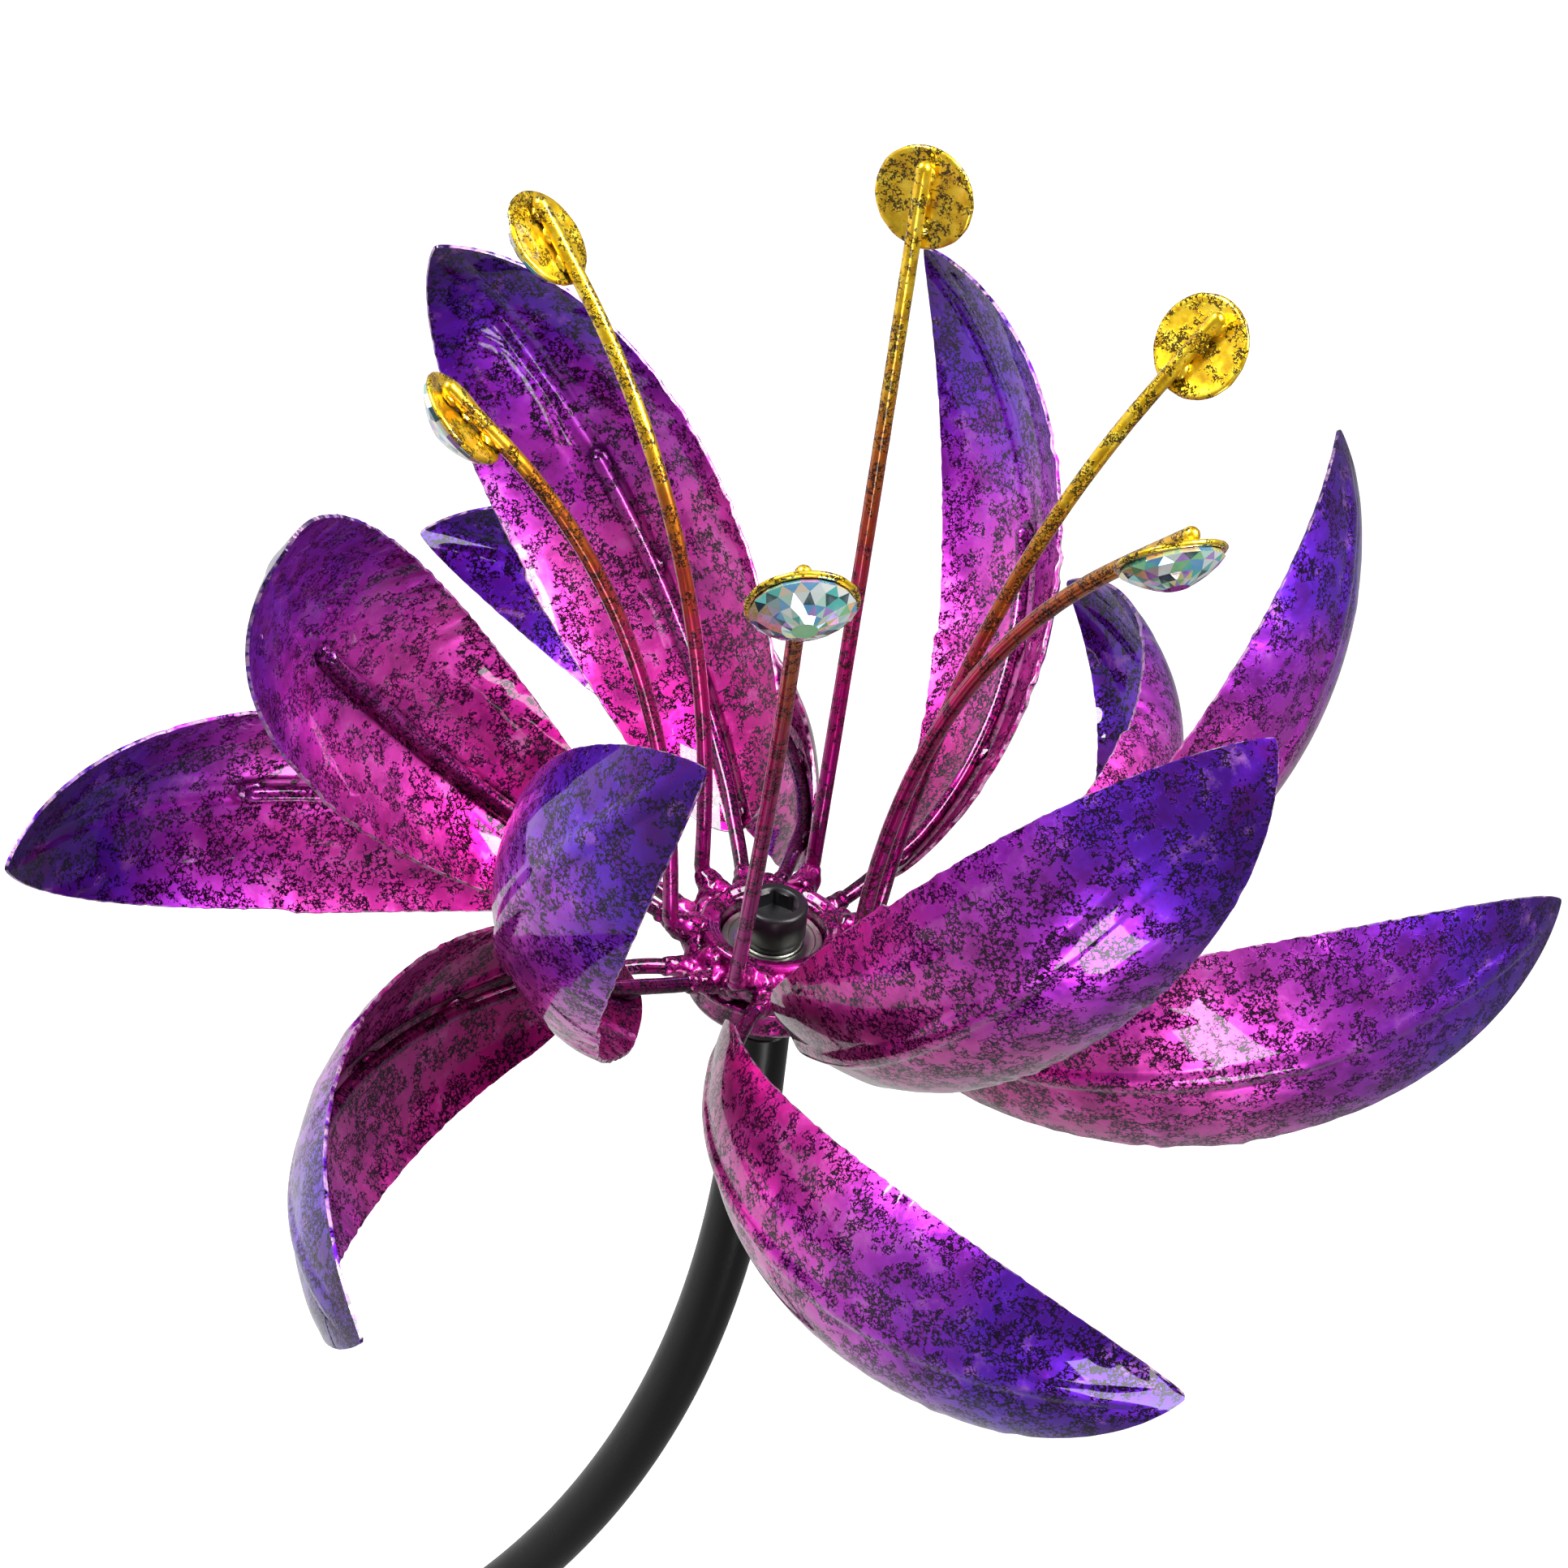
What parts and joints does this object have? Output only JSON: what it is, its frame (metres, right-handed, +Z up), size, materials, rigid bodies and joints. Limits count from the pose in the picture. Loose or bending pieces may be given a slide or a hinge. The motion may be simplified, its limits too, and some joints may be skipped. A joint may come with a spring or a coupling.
{
  "type": "wind spinner",
  "caption": "Garden stake with a bent neck carrying a two-tier lily wind spinner: cupped petals on rods, jewelled stamens, and a hub on ball bearings.",
  "frame": {"origin": "centre of the step bar's underside, on the ground line and on the pole's axis", "axes": "+Z up along the pole; -Y is the side that the neck bends to and the flower faces; +X to the right of someone who faces the flower's back"},
  "size_m": [0.403, 0.488, 1.3961],
  "materials": {
    "candy_violet": "candy magenta to violet metallic paint with a black crackle, gloss clear coat",
    "candy_magenta": "candy magenta metallic paint with a black crackle, gloss clear coat",
    "stamen_gold": "gold metallic paint with a black crackle, gloss clear coat; the wires fade through brown to magenta at the hub",
    "crystal": "clear cut stone with an iridescent coating",
    "steel": "ground bearing steel",
    "black_oxide": "black oxide",
    "satin_black": "satin black powder coat",
    "zinc": "bright zinc plate"
  },
  "bodies": {
    "stake": {"cap_screw": "black_oxide", "clamp_washer": "black_oxide", "upper_bearing_inner": "steel", "lower_bearing_inner": "steel", "bearing_sleeve": "steel", "spindle_boss": "satin_black", "neck_tube": "satin_black", "pole_tube": "satin_black", "ground_socket": "satin_black", "socket_bolt": "zinc", "step_bar": "satin_black", "prong_left": "satin_black", "prong_right": "satin_black"},
    "flower": {"hub_sleeve": "candy_magenta", "hub_cup": "candy_magenta", "upper_bearing_outer": "steel", "lower_bearing_outer": "steel", "upper_petal_1": "candy_violet", "upper_petal_2": "candy_violet", "upper_petal_3": "candy_violet", "upper_petal_4": "candy_violet", "upper_petal_5": "candy_violet", "upper_petal_6": "candy_violet", "upper_petal_rod_1": "candy_magenta", "upper_petal_rod_2": "candy_magenta", "upper_petal_rod_3": "candy_magenta", "upper_petal_rod_4": "candy_magenta", "upper_petal_rod_5": "candy_magenta", "upper_petal_rod_6": "candy_magenta", "lower_petal_1": "candy_violet", "lower_petal_2": "candy_violet", "lower_petal_3": "candy_violet", "lower_petal_4": "candy_violet", "lower_petal_5": "candy_violet", "lower_petal_6": "candy_violet", "lower_petal_rod_1": "candy_magenta", "lower_petal_rod_2": "candy_magenta", "lower_petal_rod_3": "candy_magenta", "lower_petal_rod_4": "candy_magenta", "lower_petal_rod_5": "candy_magenta", "lower_petal_rod_6": "candy_magenta", "stamen_wire_1": "stamen_gold", "stamen_wire_2": "stamen_gold", "stamen_wire_3": "stamen_gold", "stamen_wire_4": "stamen_gold", "stamen_wire_5": "stamen_gold", "stamen_wire_6": "stamen_gold", "stamen_disc_1": "stamen_gold", "stamen_disc_2": "stamen_gold", "stamen_disc_3": "stamen_gold", "stamen_disc_4": "stamen_gold", "stamen_disc_5": "stamen_gold", "stamen_disc_6": "stamen_gold", "stamen_jewel_1": "crystal", "stamen_jewel_2": "crystal", "stamen_jewel_3": "crystal", "stamen_jewel_4": "crystal", "stamen_jewel_5": "crystal", "stamen_jewel_6": "crystal"}
  },
  "joints": [
    {"name": "flower_spin", "type": "hinge", "parent": "stake", "child": "flower", "pos_m": [0, -0.27078, 1.00171], "axis": [0, -0.866, 0.5], "continuous": true}
  ]
}
